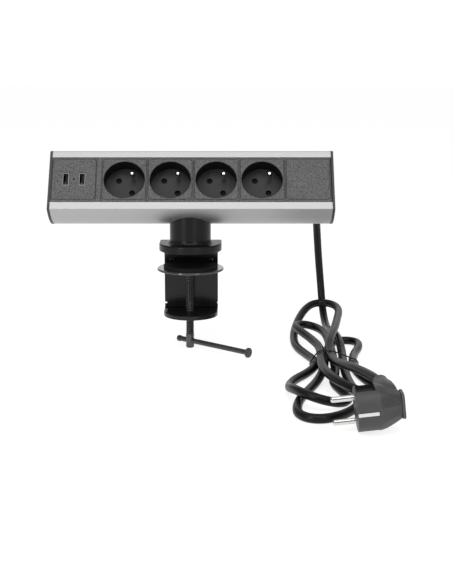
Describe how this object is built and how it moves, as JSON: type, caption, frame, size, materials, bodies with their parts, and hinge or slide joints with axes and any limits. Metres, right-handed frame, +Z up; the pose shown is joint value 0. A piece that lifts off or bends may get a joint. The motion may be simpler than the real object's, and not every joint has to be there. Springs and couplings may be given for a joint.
{
  "type": "desk power strip",
  "caption": "Aluminium power bar with sockets and charging ports, on a column with a screw clamp for a desk edge, with a coiled mains cord.",
  "frame": {"origin": "centre of the clamp's upper seat, on the plane of the desk top", "axes": "+X along the bar to the right, +Y to the back, +Z up; the sockets face the front (-Y) and up"},
  "size_m": [0.3241, 0.4069, 0.1984],
  "materials": {
    "aluminium_body": "fine satin",
    "black_plastic": "fine grain",
    "insert_plastic": "fine grain",
    "dark_steel": "blackened",
    "bright_steel": "satin",
    "port_plastic": "matte",
    "indicator_lens": "gloss",
    "board_green": "satin",
    "brass_strip": "satin",
    "wire_sheath": "satin",
    "cord_sheath": "satin",
    "column_coat": "semi-gloss",
    "bracket_paint": "gloss",
    "pad_rubber": "matte",
    "plug_plastic": "satin"
  },
  "bodies": {
    "strip": {"housing_profile": "aluminium_body", "left_end_cap": "black_plastic", "right_end_cap": "black_plastic", "end_cap_screws": "dark_steel", "usb_frame": "insert_plastic", "usb_panel": "insert_plastic", "usb_port_shells": "bright_steel", "usb_tongues": "port_plastic", "usb_indicator": "indicator_lens", "usb_circuit_board": "board_green", "spacer_strip": "insert_plastic", "blank_frame": "insert_plastic", "blank_panel": "insert_plastic", "live_busbar": "brass_strip", "neutral_busbar": "brass_strip", "earth_busbar": "brass_strip", "internal_wires": "wire_sheath", "cord_clamp": "black_plastic", "cord_clamp_screws": "dark_steel", "strain_relief": "cord_sheath", "support_column": "column_coat", "column_screws": "dark_steel", "clamp_bracket": "bracket_paint", "bracket_rivets": "dark_steel", "upper_pad": "pad_rubber", "power_cord": "cord_sheath", "cable_tie": "cord_sheath", "plug_body": "plug_plastic", "plug_pins": "bright_steel", "plug_earth_clips": "bright_steel", "socket_frame_1": "insert_plastic", "socket_cover_1": "insert_plastic", "socket_base_1": "black_plastic", "earth_pin_1": "bright_steel", "shutter_spring_1": "bright_steel", "socket_frame_2": "insert_plastic", "socket_cover_2": "insert_plastic", "socket_base_2": "black_plastic", "earth_pin_2": "bright_steel", "shutter_spring_2": "bright_steel", "socket_frame_3": "insert_plastic", "socket_cover_3": "insert_plastic", "socket_base_3": "black_plastic", "earth_pin_3": "bright_steel", "shutter_spring_3": "bright_steel", "socket_frame_4": "insert_plastic", "socket_cover_4": "insert_plastic", "socket_base_4": "black_plastic", "earth_pin_4": "bright_steel", "shutter_spring_4": "bright_steel"},
    "pressure_plate": {"pressure_disc": "dark_steel", "pressure_pad": "pad_rubber", "disc_rivet": "dark_steel"},
    "clamp_screw": {"clamp_screw": "dark_steel"},
    "tommy_bar": {"tommy_bar": "dark_steel"},
    "shutter_1": {"shutter_1": "port_plastic"},
    "shutter_2": {"shutter_2": "port_plastic"},
    "shutter_3": {"shutter_3": "port_plastic"},
    "shutter_4": {"shutter_4": "port_plastic"}
  },
  "joints": [
    {"name": "plate_slide", "type": "slide", "parent": "strip", "child": "pressure_plate", "axis": [0, 0, 1], "range_m": [-0.036, 0.012]},
    {"name": "screw_turn", "type": "hinge", "parent": "pressure_plate", "child": "clamp_screw", "pos_m": [-0.001, 0, -0.06], "axis": [0, 0, 1], "range_deg": [-6480, 2160]},
    {"name": "tommy_slide", "type": "slide", "parent": "clamp_screw", "child": "tommy_bar", "axis": [0.766, -0.6428, 0], "range_m": [-0.068, 0.008]},
    {"name": "shutter_1_slide", "type": "slide", "parent": "strip", "child": "shutter_1", "axis": [-0.7071, -0.4005, -0.5828], "range_m": [0, 0.0065], "stiffness_N_per_m": 150, "springref_m": -0.0005, "deforming": ["shutter_spring_1"]},
    {"name": "shutter_2_slide", "type": "slide", "parent": "strip", "child": "shutter_2", "axis": [-0.7071, -0.4005, -0.5828], "range_m": [0, 0.0065], "stiffness_N_per_m": 150, "springref_m": -0.0005, "deforming": ["shutter_spring_2"]},
    {"name": "shutter_3_slide", "type": "slide", "parent": "strip", "child": "shutter_3", "axis": [-0.7071, -0.4005, -0.5828], "range_m": [0, 0.0065], "stiffness_N_per_m": 150, "springref_m": -0.0005, "deforming": ["shutter_spring_3"]},
    {"name": "shutter_4_slide", "type": "slide", "parent": "strip", "child": "shutter_4", "axis": [-0.7071, -0.4005, -0.5828], "range_m": [0, 0.0065], "stiffness_N_per_m": 150, "springref_m": -0.0005, "deforming": ["shutter_spring_4"]}
  ],
  "couplings": [
    {"joint": "plate_slide", "follows": "screw_turn", "m_per_rad": 0.00031831}
  ]
}
